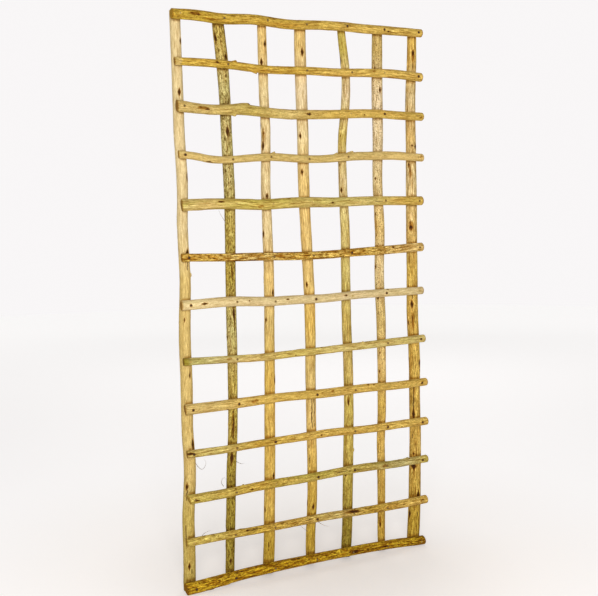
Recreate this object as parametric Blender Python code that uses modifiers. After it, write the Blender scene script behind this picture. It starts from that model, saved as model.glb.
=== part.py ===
"""Rustic lattice trellis: seven round upright poles with thirteen round rails nailed across their front.

Units are metres, +Z is up, +X runs along the rails and -Y is the front, where the rails lie.
The origin is at the middle of the base, on the surface that the feet stand on.
"""
import math

import bmesh
import bpy
import numpy as np
from mathutils import Matrix, Vector

MM = 0.001

# Driving dimensions of the lattice
UPRIGHT_PITCH = 143 * MM        # between the axes of neighbouring uprights
UPRIGHT_TOP = 1794 * MM         # sawn tops, just under the top rail's upper edge
BUTT = 12 * MM                  # straight sawn stretch at each end of a pole
LAYER_GAP = 0.3 * MM            # between the uprights' layer and the rails' layer

# How finely the poles are made
POLE_SIDES = 10
BEVEL_RESOLUTION = (POLE_SIDES - 4) // 2
UPRIGHT_STEP = 58 * MM
RAIL_STEP = 50 * MM
# A many-sided pole this much wider across its corners has the section area of a round one
CORNER_SWELL = math.sqrt(2 * math.pi / (POLE_SIDES * math.sin(2 * math.pi / POLE_SIDES)))
FLAT = CORNER_SWELL * math.cos(math.pi / POLE_SIDES)   # half the width across flats, per radius

# Twist of a pole's section that turns one flat to the other layer
UPRIGHT_TILT = 0.0
RAIL_TILT = math.pi / POLE_SIDES

# Round wire nails, one at each crossing along the border of the lattice
NAIL_LENGTH = 50 * MM
NAIL_POINT = 4 * MM
NAIL_RADIUS = 1.4 * MM
NAIL_HEAD_RADIUS = 3.2 * MM
NAIL_HEAD_HEIGHT = 1.2 * MM
NAIL_SIDES = 8
HEAD_GAP = 0.3 * MM             # under the head
HOLE_RADIUS = 1.9 * MM
HOLE_END_GAP = 2 * MM           # past the nail's point

# The poles as they grew, left to right. Each bend: height, sideways shift from the even pitch,
# girth (diameter), all in millimetres. The first bend is the sawn foot: the outer poles stand on
# the ground, the others end a little above it. Colour is the peeled wood's, in sRGB from 0 to 255.
UPRIGHTS = (
    {"colour": (219, 189, 125),
     "bends": ((0, -4, 39), (100, -2, 39), (240, -2, 38), (380, 8, 39), (510, 2, 36),
               (650, 4, 38), (820, 2, 37), (1000, 8, 34), (1120, 3, 33), (1280, 7, 34),
               (1430, 1, 34), (1560, 0, 33), (1700, -2, 33), (1800, -4, 33))},
    {"colour": (172, 146, 74),
     "bends": ((5, -10, 29), (100, -6, 29), (220, -1, 30), (380, 6, 31), (510, 14, 31),
               (660, 17, 31), (820, 18, 33), (980, 18, 33), (1130, 21, 34), (1280, 21, 35),
               (1420, 16, 35), (1570, 12, 36), (1690, 4, 38), (1740, -2, 37), (1800, -8, 36))},
    {"colour": (215, 181, 108),
     "bends": ((5, -12, 38), (100, -6, 37), (220, -3, 37), (380, 2, 36), (510, 4, 35),
               (660, 7, 34), (820, 9, 34), (980, 11, 33), (1130, 8, 32), (1290, 5, 31),
               (1430, 9, 30), (1570, 4, 31), (1700, 2, 29), (1800, 0, 28))},
    {"colour": (219, 181, 110),
     "bends": ((9, 3, 32), (100, 5, 32), (220, 14, 33), (380, 16, 33), (510, 15, 33),
               (660, 16, 35), (820, 18, 36), (980, 14, 36), (1130, 7, 36), (1290, 2, 38),
               (1430, 2, 37), (1570, -1, 38), (1700, -3, 38), (1800, -3, 37))},
    {"colour": (196, 167, 87),
     "bends": ((5, 0, 35), (100, 7, 35), (220, 11, 35), (380, 16, 35), (510, 19, 33),
               (640, 19, 33), (820, 14, 32), (980, 13, 31), (1130, 13, 31), (1280, 5, 28),
               (1430, 6, 29), (1560, 22, 29), (1620, 23, 28), (1700, 15, 27), (1740, 8, 26),
               (1800, 2, 26))},
    {"colour": (208, 173, 105),
     "bends": ((5, 1, 26), (100, 1, 27), (240, 4, 28), (380, 3, 28), (510, 9, 29),
               (660, 10, 30), (820, 10, 33), (970, 4, 32), (1110, 9, 33), (1280, 1, 34),
               (1430, 5, 35), (1570, 4, 37), (1700, 5, 36), (1800, 6, 35))},
    {"colour": (196, 156, 78),
     "bends": ((0, -3, 44), (100, 4, 44), (230, 7, 43), (380, 10, 41), (510, 7, 38),
               (660, 8, 40), (820, 1, 41), (980, 0, 38), (1130, -1, 38), (1280, -1, 38),
               (1420, -3, 35), (1560, -4, 35), (1700, 2, 32), (1800, 2, 31))},
)

# The rails, top to bottom: height of the rail, then its bends, each the place along the rail from
# the middle, lift from that height, girth. The first and last bends are the sawn ends. The bottom
# rail's ends rest on the ground in front of the outer poles' feet, and keep the panel from tipping.
RAILS = (
    {"height": 1780, "colour": (200, 158, 62),
     "bends": ((-457, -3, 30), (-370, -2, 32), (-290, -8, 33), (-210, -1, 32), (-150, -2, 31),
               (-60, -8, 30), (30, -2, 29), (105, 1, 29), (200, -1, 30), (350, 0, 28),
               (449, 0, 27))},
    {"height": 1636, "colour": (206, 164, 73),
     "bends": ((-452, 3, 24), (-320, 3, 25), (-220, -2, 25), (-160, -7, 25), (-60, -5, 25),
               (40, -3, 26), (110, -4, 27), (220, 1, 28), (320, 3, 29), (380, 1, 29),
               (447, -5, 30))},
    {"height": 1501, "colour": (209, 171, 90),
     "bends": ((-450, 9, 38), (-418, 3, 33), (-375, 0, 31), (-320, -2, 30), (-265, 1, 33),
               (-225, 3, 35), (-180, -2, 32), (-80, -8, 31), (30, -6, 30), (105, -3, 29),
               (210, 3, 29), (260, 4, 28), (340, 1, 28), (451, -1, 28))},
    {"height": 1359, "colour": (216, 180, 106),
     "bends": ((-447, 5, 23), (-400, 2, 23), (-335, -11, 23), (-220, -6, 24), (-130, 0, 25),
               (-40, -5, 25), (50, -6, 25), (110, -2, 27), (170, 5, 28), (240, 6, 28),
               (330, 9, 28), (451, 1, 27))},
    {"height": 1215, "colour": (203, 172, 90),
     "bends": ((-445, -5, 36), (-320, -1, 34), (-230, -4, 34), (-180, -7, 34), (-90, -2, 34),
               (-20, 0, 34), (80, -2, 32), (200, 1, 31), (330, 1, 31), (446, -1, 31))},
    {"height": 1049, "colour": (194, 147, 58),
     "bends": ((-447, 4, 25), (-330, -1, 25), (-200, -3, 26), (-60, -6, 27), (60, -7, 27),
               (130, -4, 27), (220, -1, 28), (330, 2, 29), (447, 7, 30))},
    {"height": 906, "colour": (220, 193, 132),
     "bends": ((-452, 0, 31), (-380, 2, 32), (-310, 4, 32), (-220, 0, 31), (-160, -4, 30),
               (-40, -5, 29), (80, -6, 28), (200, -1, 28), (330, -2, 27), (448, -1, 26))},
    {"height": 732, "colour": (205, 182, 103),
     "bends": ((-450, 1, 24), (-330, -3, 23), (-200, -8, 24), (-60, -6, 24), (80, -4, 25),
               (200, -1, 25), (300, 1, 26), (454, 5, 27))},
    {"height": 587, "colour": (209, 170, 87),
     "bends": ((-452, -3, 34), (-320, -2, 33), (-200, 0, 31), (-90, 1, 28), (-20, -1, 29),
               (80, -3, 30), (210, -1, 29), (340, -6, 28), (462, -4, 27))},
    {"height": 447, "colour": (200, 162, 72),
     "bends": ((-446, -3, 24), (-330, -5, 24), (-200, -1, 25), (-60, 0, 26), (80, 2, 26),
               (200, -4, 27), (340, -3, 28), (463, -4, 28))},
    {"height": 309, "colour": (186, 158, 70),
     "bends": ((-449, -8, 31), (-320, -7, 30), (-200, -2, 28), (-100, -1, 28), (-30, -2, 27),
               (90, 2, 27), (210, 3, 28), (330, -3, 26), (463, -1, 27))},
    {"height": 166, "colour": (180, 145, 56),
     "bends": ((-456, -2, 25), (-330, -1, 25), (-200, -2, 25), (-60, -1, 26), (60, 0, 26),
               (130, -3, 26), (230, -5, 27), (340, -6, 29), (459, -3, 29))},
    {"height": 27, "colour": (158, 117, 28),
     "bends": ((-463, -7.6, 38), (-375, -5, 38), (-310, 0, 35), (-220, 4, 34), (-150, 5, 34),
               (-40, 5, 32), (90, 4, 31), (210, 2, 31), (340, -4, 30), (447, -11.4, 32))},
)
NAIL_COLOUR = (70, 58, 50)


def clear_scene():
    for item in list(bpy.data.objects):
        bpy.data.objects.remove(item, do_unlink=True)


def new_collection(name):
    group = bpy.data.collections.new(name)
    bpy.context.scene.collection.children.link(group)
    return group


def linear(channel):
    """One sRGB channel from 0 to 255 as a linear colour value."""
    value = channel / 255
    if value <= 0.04045:
        return value / 12.92
    return ((value + 0.055) / 1.055) ** 2.4


def finish(name, colour, roughness, metallic=0.0):
    material = bpy.data.materials.new(name)
    material.use_nodes = True
    shader = material.node_tree.nodes["Principled BSDF"]
    shader.inputs["Base Color"].default_value = (*(linear(c) for c in colour), 1.0)
    shader.inputs["Roughness"].default_value = roughness
    shader.inputs["Metallic"].default_value = metallic
    return material


class Pole:
    """A pole's smooth line and girth, worked out from its bends."""

    def __init__(self, bends):
        place, shift, girth = (np.array(column, float) * MM for column in zip(*bends))
        self.place = place
        self.shift = shift
        self.radius = girth / 2

    def ease(self, values, where):
        """Cubic curve through the values at the bends."""
        slopes = np.gradient(values, self.place)
        k = int(np.clip(np.searchsorted(self.place, where) - 1, 0, len(self.place) - 2))
        span = self.place[k + 1] - self.place[k]
        t = (where - self.place[k]) / span
        start = (1 + 2 * t) * (1 - t) ** 2 * values[k] + t * (1 - t) ** 2 * span * slopes[k]
        end = t * t * (3 - 2 * t) * values[k + 1] + t * t * (t - 1) * span * slopes[k + 1]
        return float(start + end)

    def shift_at(self, where):
        return self.ease(self.shift, where)

    def radius_at(self, where):
        return self.ease(self.radius, where)


def stations(start, end, step):
    """Places along a pole: straight butts at its ends and even steps between them."""
    count = round((end - start - 2 * BUTT) / step)
    inner = np.linspace(start + BUTT, end - BUTT, count + 1)
    return [start, *inner, end]


def ring_values(pole, start, end, step):
    """Place, shift and radius of each ring; a butt keeps the values of the ring beside it."""
    places = stations(start, end, step)
    shifts = [pole.shift_at(p) for p in places]
    radii = [pole.radius_at(p) for p in places]
    shifts[0], radii[0] = shifts[1], radii[1]
    shifts[-1], radii[-1] = shifts[-2], radii[-2]
    return np.array(places), np.array(shifts), np.array(radii)


def upright_rings(number):
    pole = Pole(UPRIGHTS[number]["bends"])
    middle = (len(UPRIGHTS) - 1) / 2
    places, shifts, radii = ring_values(pole, pole.place[0], UPRIGHT_TOP, UPRIGHT_STEP)
    return places, shifts + (number - middle) * UPRIGHT_PITCH, radii


def rail_rings(number):
    rail = RAILS[number]
    pole = Pole(rail["bends"])
    start, end = pole.place[0], pole.place[-1]
    places, shifts, radii = ring_values(pole, start, end, RAIL_STEP)
    return places, shifts + rail["height"] * MM, radii


def crossing(upright, rail):
    """Where a rail crosses an upright (x, z), and how deep the rail is there."""
    heights, across, _ = upright
    along, lifts, radii = rail
    x, z = 0.0, float(np.mean(lifts))
    for _ in range(4):
        x = float(np.interp(z, heights, across))
        z = float(np.interp(x, along, lifts))
    return x, z, 2 * FLAT * float(np.interp(x, along, radii))


def make_tube(name, centres, radii, tilt, group):
    """A many-sided pole along its centres, closed with sawn ends, as a mesh object."""
    curve = bpy.data.curves.new(name, "CURVE")
    curve.dimensions = "3D"
    curve.bevel_depth = float(np.mean(radii)) * CORNER_SWELL
    curve.bevel_resolution = BEVEL_RESOLUTION
    curve.use_fill_caps = True
    spline = curve.splines.new("POLY")
    spline.points.add(len(centres) - 1)
    for point, centre, radius in zip(spline.points, centres, radii):
        point.co = (*centre, 1.0)
        point.radius = radius / float(np.mean(radii))
        point.tilt = tilt
    drawn = bpy.data.objects.new(name + "_curve", curve)
    group.objects.link(drawn)
    bpy.context.view_layer.update()
    evaluated = drawn.evaluated_get(bpy.context.evaluated_depsgraph_get())
    mesh = bpy.data.meshes.new_from_object(evaluated)
    place = drawn.matrix_world.copy()
    bpy.data.objects.remove(drawn, do_unlink=True)
    weld = bmesh.new()
    weld.from_mesh(mesh)
    bmesh.ops.remove_doubles(weld, verts=weld.verts, dist=0.01 * MM)
    weld.to_mesh(mesh)
    weld.free()
    mesh.name = name
    mesh.shade_smooth()
    mesh.set_sharp_from_angle(angle=math.radians(50))
    made = bpy.data.objects.new(name, mesh)
    made.matrix_world = place
    group.objects.link(made)
    return made


def make_holes(name, holes, group):
    """Drills for one pole: each hole is x, z and its two ends in y."""
    mesh = bpy.data.meshes.new(name)
    drills = bmesh.new()
    for x, z, front, back in holes:
        middle = Vector((x, (front + back) / 2, z))
        turn = Matrix.Rotation(math.radians(90), 4, "X")
        bmesh.ops.create_cone(drills, cap_ends=True, segments=NAIL_SIDES, radius1=HOLE_RADIUS,
                              radius2=HOLE_RADIUS, depth=back - front,
                              matrix=Matrix.Translation(middle) @ turn)
    drills.to_mesh(mesh)
    drills.free()
    cutter = bpy.data.objects.new(name, mesh)
    cutter.display_type = "WIRE"
    cutter.hide_render = True
    group.objects.link(cutter)
    return cutter


def drill(pole, holes, cutters):
    if not holes:
        return
    cut = pole.modifiers.new("nail_holes", "BOOLEAN")
    cut.operation = "DIFFERENCE"
    cut.solver = "EXACT"
    cut.object = make_holes(pole.name + "_drills", holes, cutters)


def nail_profile():
    """Half section of a nail, down its outer side from the head's middle to the point."""
    mesh = bpy.data.meshes.new("nail_profile")
    points = (
        (0.0, 0.0, NAIL_HEAD_HEIGHT),
        (NAIL_HEAD_RADIUS, 0.0, NAIL_HEAD_HEIGHT * 0.6),
        (NAIL_HEAD_RADIUS, 0.0, 0.0),
        (NAIL_RADIUS, 0.0, 0.0),
        (NAIL_RADIUS, 0.0, NAIL_POINT - NAIL_LENGTH),
        (0.0, 0.0, -NAIL_LENGTH),
    )
    edges = [(k, k + 1) for k in range(len(points) - 1)]
    mesh.from_pydata(points, edges, [])
    return mesh


def make_nail(name, profile, x, y, z, group):
    """A nail with the underside of its head at y, driven straight back."""
    nail = bpy.data.objects.new(name, profile)
    turn = nail.modifiers.new("turned", "SCREW")
    turn.axis = "Z"
    turn.angle = math.radians(360)
    turn.steps = NAIL_SIDES
    turn.render_steps = NAIL_SIDES
    turn.use_merge_vertices = True
    turn.merge_threshold = 0.01 * MM
    nail.location = (x, y, z)
    nail.rotation_euler = (math.radians(90), 0.0, 0.0)
    group.objects.link(nail)


def build():
    clear_scene()
    parts = new_collection("lattice_trellis")
    cutters = new_collection("cutters")
    uprights = [upright_rings(k) for k in range(len(UPRIGHTS))]
    rails = [rail_rings(k) for k in range(len(RAILS))]
    upright_holes = [[] for _ in uprights]
    rail_holes = [[] for _ in rails]
    profile = nail_profile()
    profile.materials.append(finish("nail_steel", NAIL_COLOUR, 0.55, 0.8))
    half_gap = LAYER_GAP / 2

    for i, upright in enumerate(uprights):
        for j, rail in enumerate(rails):
            border = i in (0, len(uprights) - 1) or j in (0, len(rails) - 1)
            if not border:
                continue
            x, z, depth = crossing(upright, rail)
            under_head = -half_gap - depth - HEAD_GAP
            point = under_head + NAIL_LENGTH
            rail_holes[j].append((x, z, under_head - HOLE_END_GAP, half_gap))
            upright_holes[i].append((x, z, -half_gap, point + HOLE_END_GAP))
            make_nail(f"nail_{j + 1:02d}_{i + 1}", profile, x, under_head, z, parts)

    for i, (heights, across, radii) in enumerate(uprights):
        centres = [(x, half_gap + FLAT * r, z) for z, x, r in zip(heights, across, radii)]
        pole = make_tube(f"upright_{i + 1}", centres, radii, UPRIGHT_TILT, parts)
        pole.data.materials.append(finish(pole.name + "_wood", UPRIGHTS[i]["colour"], 0.75))
        drill(pole, upright_holes[i], cutters)
    for j, (along, lifts, radii) in enumerate(rails):
        centres = [(x, -half_gap - FLAT * r, z) for x, z, r in zip(along, lifts, radii)]
        pole = make_tube(f"rail_{j + 1:02d}", centres, radii, RAIL_TILT, parts)
        pole.data.materials.append(finish(pole.name + "_wood", RAILS[j]["colour"], 0.75))
        drill(pole, rail_holes[j], cutters)


build()
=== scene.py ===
"""Rustic lattice trellis: seven peeled poles with thirteen round rails nailed across their front.

Every pole follows the line and girth of its solid in the frame, and gets the lumps, knots,
checks and sawn ends of a cut branch. Units are metres, +Z is up and -Y is the front.
Angles round a pole are in degrees from the front: towards +X on an upright, up on a rail.
"""
import math
import random

import bmesh
import bpy
import numpy as np
from mathutils import Matrix, Vector


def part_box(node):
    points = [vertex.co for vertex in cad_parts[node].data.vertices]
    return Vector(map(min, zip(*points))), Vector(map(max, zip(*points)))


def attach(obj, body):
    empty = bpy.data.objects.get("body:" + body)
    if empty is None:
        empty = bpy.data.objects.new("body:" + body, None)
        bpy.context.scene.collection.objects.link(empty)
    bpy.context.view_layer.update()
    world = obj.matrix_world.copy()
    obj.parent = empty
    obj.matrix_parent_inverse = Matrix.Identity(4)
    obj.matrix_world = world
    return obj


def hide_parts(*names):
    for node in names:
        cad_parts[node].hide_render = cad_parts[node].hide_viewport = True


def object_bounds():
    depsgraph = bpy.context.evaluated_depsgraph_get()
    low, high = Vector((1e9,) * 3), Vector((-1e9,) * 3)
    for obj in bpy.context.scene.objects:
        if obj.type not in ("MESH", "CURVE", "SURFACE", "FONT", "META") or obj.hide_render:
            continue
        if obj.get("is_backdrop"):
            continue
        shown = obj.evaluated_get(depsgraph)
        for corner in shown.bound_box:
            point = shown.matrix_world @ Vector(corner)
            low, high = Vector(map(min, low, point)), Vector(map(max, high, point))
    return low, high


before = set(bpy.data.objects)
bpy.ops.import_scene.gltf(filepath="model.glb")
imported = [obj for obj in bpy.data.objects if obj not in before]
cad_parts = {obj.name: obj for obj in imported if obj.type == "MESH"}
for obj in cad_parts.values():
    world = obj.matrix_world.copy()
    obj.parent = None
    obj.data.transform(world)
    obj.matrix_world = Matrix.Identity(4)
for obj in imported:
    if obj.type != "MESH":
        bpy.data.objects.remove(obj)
CAD_LOW, CAD_HIGH = (np.array(corner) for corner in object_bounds())

bl_info = {
    "name": "Lattice trellis",
    "version": (1, 0, 0),
    "blender": (4, 5, 0),
    "location": "View3D > Sidebar > Trellis",
    "description": "Dresses the lattice trellis: peeled poles, wire nails and a pale studio",
    "category": "Object",
}

MM = 0.001
BODY = "root"


def table(text):
    """Rows of a table written as text: rows end in commas, numbers and words in spaces."""
    return [[word if word[0].isalpha() else float(word) for word in row.split()]
            for row in text.split(",")]


def linear(channel):
    """One sRGB channel from 0 to 255 as a linear colour value."""
    value = channel / 255
    if value <= 0.04045:
        return value / 12.92
    return ((value + 0.055) / 1.055) ** 2.4


# Peeled wood tones, in sRGB from 0 to 255
TONES = {name: [linear(channel) for channel in channels] for name, *channels in table("""
    ivory 232 210 166, cream 228 205 150, bone 220 197 145, butter 226 194 122, pear 216 195 122,
    flax 211 183 113, sage 197 182 120, honey 221 186 97, straw 205 182 94, tan 214 180 90,
    reed 196 172 92, gold 203 168 72, amber 194 162 62, moss 184 162 75, olive 162 141 58,
    brown 199 164 42, umber 188 151 31""")}


def skin(slot, tones, wear, marks, **more):
    """The look of a pole's surface: its slot and its tables of tones, wear and marks.

    A place is the height on an upright and x on a rail, in mm. What lies between is blended.
    tones: place and tone.
    wear: place, then mottle with its painted glints, speckle, green film and bark left, in percent.
    marks: kind, place, angle round in degrees, length along and width round in mm. One without
    a kind is a knot.
    more: cuts (a rail's own saw cuts), fresh (how new its sawn ends are), heads (a letter of
    HEADS for each crossing).
    """
    marks = [row if isinstance(row[0], str) else ["knot", *row] for row in table(marks)]
    return {"slot": slot, "tones": table(tones), "wear": table(wear), "marks": marks, **more}


# From left to right. Each upright's tones darken towards its bottom
UPRIGHT_LOOKS = (
    skin("cream_wood",
         "0 olive, 60 reed, 240 reed, 380 flax, 980 flax, 1130 bone",
         "0 35 30 20 20, 500 25 20 10 5, 1000 12 10 10 0, 1794 10 10 15 0",
         """1702 36 26 10, 1622 -12 9 4, 1550 -6 32 12, 1296 44 40 10, 1065 21 32 14,
         check 1025 12 50 4, stub 997 66 12 8, 860 -24 15 6, 688 14 32 7, 469 29 54 12,
         336 -50 30 11, check 316 -44 40 3, check 296 -50 50 3, check 192 -49 56 5, 82 -24 30 10,
         check 60 -2 36 3"""),
    skin("olive_wood",
         """380 olive, 520 straw, 660 reed, 820 sage, 980 moss, 1130 reed, 1290 sage, 1570 sage,
         1710 reed""",
         "0 100 50 50 30, 500 90 40 60 10, 1300 100 50 60 5, 1794 100 50 30 20",
         """1720 -68 40 12, 1663 20 28 12, 1605 2 12 6, 1437 -12 40 13, scar 1116 -14 22 17,
         stain 1000 -8 80 8, 868 4 46 10, stain 860 6 120 9, 795 -86 24 8, check 515 -20 120 6,
         stain 517 -22 130 13, 408 -24 54 13, 74 -18 24 8"""),
    skin("honey_wood",
         """100 amber, 240 tan, 380 tan, 520 honey, 660 tan, 820 flax, 980 butter, 1130 bone,
         1430 bone, 1570 cream, 1710 butter""",
         "0 40 30 30 25, 400 30 20 15 10, 900 15 15 10 0, 1794 20 20 10 0",
         """1710 12 30 11, 1654 -42 28 11, 1394 -64 38 12, stain 1428 -58 60 12, 1434 -50 12 5,
         1236 -14 24 10, 1116 -78 32 9, 927 20 30 10, 840 -66 24 8, 643 40 32 9, 330 16 28 9,
         217 -78 30 8, check 110 -30 120 3"""),
    skin("honey_wood",
         """100 amber, 240 gold, 380 honey, 520 butter, 660 flax, 820 honey, 980 butter,
         1290 butter, 1430 cream, 1570 ivory, 1710 butter""",
         "0 40 30 30 25, 400 30 20 15 10, 900 15 15 10 0, 1794 15 10 10 0",
         """1693 -8 36 12, 1428 -56 26 10, 1312 -42 28 10, 946 -51 28 9, stain 836 17 44 6,
         check 520 -20 240 5, check 520 12 240 4, check 365 -62 120 4, 202 -14 32 9,
         check 120 30 120 3"""),
    skin("olive_wood",
         """100 olive, 240 moss, 380 straw, 520 straw, 660 flax, 820 reed, 980 pear, 1130 pear,
         1290 bone, 1430 straw, 1570 ivory, 1710 straw""",
         "0 90 40 80 20, 400 40 30 60 10, 900 30 30 60 0, 1300 30 30 30 0, 1794 30 30 50 0",
         """scar 1446 -42 20 15, 1431 -58 8 6, 1336 -64 14 6, 1253 -54 25 9, check 700 34 120 3,
         stain 545 -34 44 11, 540 -34 26 6, stain 410 -60 60 6, stub 373 44 12 8, 290 -60 13 10"""),
    skin("honey_wood",
         """100 gold, 240 tan, 380 honey, 520 tan, 660 butter, 820 flax, 980 cream, 1130 butter,
         1290 cream, 1430 ivory, 1570 ivory, 1710 flax""",
         "0 50 60 20 30, 500 30 60 10 10, 900 30 90 10 0, 1700 30 100 10 0, 1794 30 60 30 0",
         """1657 -58 12 8, 1586 0 28 10, 1291 -58 12 8, 1172 -76 16 5, stain 1135 -80 90 7,
         1100 -80 18 5, 994 -80 26 7, 888 -60 18 12, 697 -54 9 7, 632 -66 13 6, stub 337 -72 12 9,
         143 -22 12 8, stain 105 -46 60 10, 95 -52 24 6"""),
    skin("gold_wood",
         """100 amber, 240 tan, 380 honey, 520 tan, 820 honey, 980 tan, 1130 butter, 1290 cream,
         1430 butter, 1570 bone, 1710 honey""",
         "0 50 30 30 40, 700 50 30 25 40, 1200 40 30 20 25, 1794 30 20 20 10",
         """stain 1705 -18 60 12, 1715 -18 28 11, check 1668 -18 40 3, 1403 -22 12 8, 1400 28 26 14,
         1336 -60 24 11, stain 1312 -44 54 10, stain 1128 -38 50 24, bare 1160 -36 40 16,
         1124 -42 20 15, check 1072 -38 70 3, check 884 -32 30 4, 857 -38 40 13,
         stain 800 -30 90 12, check 802 -36 60 4, 793 -84 26 9, 648 26 34 10, 622 24 10 6,
         check 510 -48 150 8, 470 -49 46 13, check 395 -62 110 4, 326 -50 14 9, 281 -48 28 23,
         178 0 46 13, 107 -82 36 12, check 101 -2 60 3"""),
)

# From top to bottom
RAIL_LOOKS = (
    # the top rail's two small bare spots at 40 degrees, near its top, are painted glints
    skin("gold_wood",
         "-350 amber, -200 gold, -60 gold, 90 tan",
         "-450 50 30 30 40, 0 40 20 30 20, 449 30 20 20 10",
         """bare -431 0 16 9, bare -415 40 8 4, stain -386 8 44 12, -396 16 12 4, -374 0 15 5,
         stain -335 -30 60 9, bare -245 20 14 6, bare -211 20 14 6, bare -180 40 9 4,
         check 150 20 90 3, 308 -22 12 8, bare 324 -10 18 6""",
         cuts=((0.05, 0.0), (0.04, 0.03)), fresh=1.0, heads="fmmmddd"),
    skin("gold_wood",
         "-434 flax, -427 gold, -60 gold, 90 honey, 220 tan, 447 honey",
         "-444 40 20 30 15, 447 30 20 20 10",
         "bare -428 14 9 9, -314 15 15 8, spur -253 70 14 8, spur -183 -80 16 8, eye 250 16 12 8",
         heads="fmfmmfd"),
    skin("honey_wood",
         "-350 flax, -200 reed, -60 flax, 90 tan, 220 honey, 360 tan",
         "-445 40 30 30 10, 448 35 20 25 5",
         """stain -366 4 56 14, -376 12 20 4, -352 -6 20 6, spur -262 -84 22 9, spur -228 84 50 12,
         -5 2 16 7, 210 -20 9 6, eye 438 -20 12 10""",
         cuts=((0.15, -0.04), (0.04, 0.03)), heads="mffdfdf"),
    skin("cream_wood",
         "220 flax, 360 butter",
         "-443 30 15 25 0, 448 25 15 20 0",
         "-345 -56 28 8, spur -124 80 12 6, spur 106 82 12 7, spur 161 82 22 9, eye 438 10 14 11",
         heads="dmmmmff"),
    skin("olive_wood",
         "-437 pear, -350 flax, -200 straw, -60 reed, 90 pear, 220 pear, 360 honey",
         "-437 25 15 80 0, 446 35 20 60 10",
         """-316 20 32 8, bare -230 10 90 4, eye -180 -20 22 11, -78 52 18 4, bare 5 8 10 6,
         82 -4 20 6, check 250 -10 60 3""",
         heads="fffffmm"),
    skin("brown_wood",
         "-350 tan, -200 flax, -60 tan, 90 honey, 220 tan, 360 butter",
         "-441 90 40 10 100, 200 90 40 10 100, 447 50 30 10 30",
         """stain -278 -50 60 8, bare -276 -26 16 5, stain -120 10 44 12, check 60 -50 160 3,
         320 32 15 7, bare 373 56 24 6""",
         heads="dfmmdfm"),
    skin("cream_wood",
         "-350 cream, -200 bone, 220 bone, 360 cream, 448 bone",
         "-448 20 15 20 0, 448 25 15 20 0",
         "-379 4 28 9, -226 12 8 5, -88 20 16 7, 131 14 13 8, 301 56 11 7",
         cuts=((0.12, -0.04), (0.04, 0.03)), heads="dmmdfdf"),
    skin("olive_wood",
         "-436 olive, -420 sage, -350 sage, -200 flax, -60 straw, 90 pear",
         "-446 30 20 90 0, -150 25 15 50 0, 120 25 20 80 0, 454 30 20 40 10",
         "eye -296 14 20 11, 39 60 13 5, -60 -20 8 5, stub 200 70 8 6",
         heads="fmfffmd"),
    skin("honey_wood",
         "-350 flax, -200 honey, -60 tan, 90 honey",
         "-447 35 20 15 0, 459 45 30 20 20",
         "-308 -56 12 7, eye -214 8 26 14, eye 74 30 13 9, 165 28 9 6, 216 54 13 7, 238 50 11 6",
         cuts=((0.22, -0.14), (0.04, 0.03)), heads="ddfdmfd"),
    skin("gold_wood",
         "-441 flax, -350 pear, -200 gold, -60 honey, 90 honey, 220 tan, 360 honey",
         "-441 35 20 80 0, -200 40 30 30 15, 460 45 30 25 20",
         "-436 18 34 10, 30 -2 13 8, stub 150 -76 9 7, 350 -30 10 6",
         heads="dmdfmdd"),
    skin("olive_wood",
         "-350 straw, -200 gold, -60 straw, 90 straw, 220 reed, 360 sage, 460 straw",
         "-448 50 40 30 10, -200 60 40 80 10, 460 50 40 80 10",
         """stain -424 -10 30 10, -420 -8 14 4, stub -300 -76 9 7, -285 46 10 6, stub -255 84 8 6,
         -229 -2 16 8, check 120 10 140 3, eye 277 6 18 13, spur 374 80 24 9""",
         cuts=((0.04, -0.42), (0.04, 0.03)), fresh=0.8, heads="mmfddmd"),
    skin("gold_wood",
         "-350 straw, -200 gold, -60 tan, 90 pear, 220 gold, 360 honey",
         "-448 50 40 20 10, -200 70 40 30 40, 456 70 40 30 35",
         """flake -393 80 20 8, flake -366 78 18 8, -246 38 14 7, check -222 34 70 6,
         check -20 20 60 4, stain 145 28 90 15, 152 32 48 14, bare 186 44 12 5, eye 257 -24 14 9,
         eye 432 10 14 11""",
         heads="fmmdmmf"),
    skin("brown_wood",
         "-350 brown, -200 umber, -60 umber, 90 brown, 360 brown, 447 umber",
         "-460 80 60 10 100, 447 90 80 10 100",
         """-421 54 9 6, stain -402 50 40 7, flake -381 -60 30 12, flake -334 -64 50 14,
         flake -20 -30 40 12, 155 4 28 11, stain 155 4 70 15, check 220 0 60 3, 275 0 20 9,
         stain 272 14 36 12""",
         cuts=((0.03, -0.14), (0.05, 0.1)), heads="ddmmmmf"),
)

# Saw cuts at a pole's two ends: how much they run back towards its rear and towards +Z or +X
RAIL_CUTS = ((0.24, -0.06), (0.04, 0.03))
UPRIGHT_CUTS = ((0.0, 0.0), (0.05, 0.06))
END_DARKENING = -0.7  # tint of a rail at its sawn edges

# Seeds of the first upright, the first rail and the nails
UPRIGHT_SEED, RAIL_SEED, NAIL_SEED = 1, 21, 7

# Nail heads from dark to faint: bare steel's share of the head, width of the rust ring in mm
HEADS = {"d": (1.0, 10.5), "m": (0.72, 8.0), "f": (0.08, 0.0)}

# Loose shreds of bark: depth (y), then the points' x and z from the pole outwards, all in mm
SHREDS = (
    (4, "-286 1155, -293 1166, -303 1181, -309 1194"),
    (10, "-408 412, -396 392, -384 384, -374 392, -371 404, -377 415"),
    (5, "-270 396, -255 386, -245 383, -238 385"),
    (-4, "-318 322, -325 335, -322 346, -315 350, -311 343"),
    (-5, "-400 172, -392 180, -378 186, -366 189"),
    (10, "8 108, -10 120, -26 133, -42 147"),
    (-2, "26 148, 38 139, 52 131, 66 126"),
)

WOODS = {
    # slot: share of the streaks, roughness
    "cream_wood": (0.30, 0.60),
    "honey_wood": (0.50, 0.62),
    "gold_wood": (0.80, 0.64),
    "olive_wood": (0.65, 0.68),
    "brown_wood": (1.00, 0.74),
}


def length_field(name, description, default):
    """A length for the sidebar."""
    return bpy.props.FloatProperty(
        name=name, description=description, default=default, unit="LENGTH")


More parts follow.
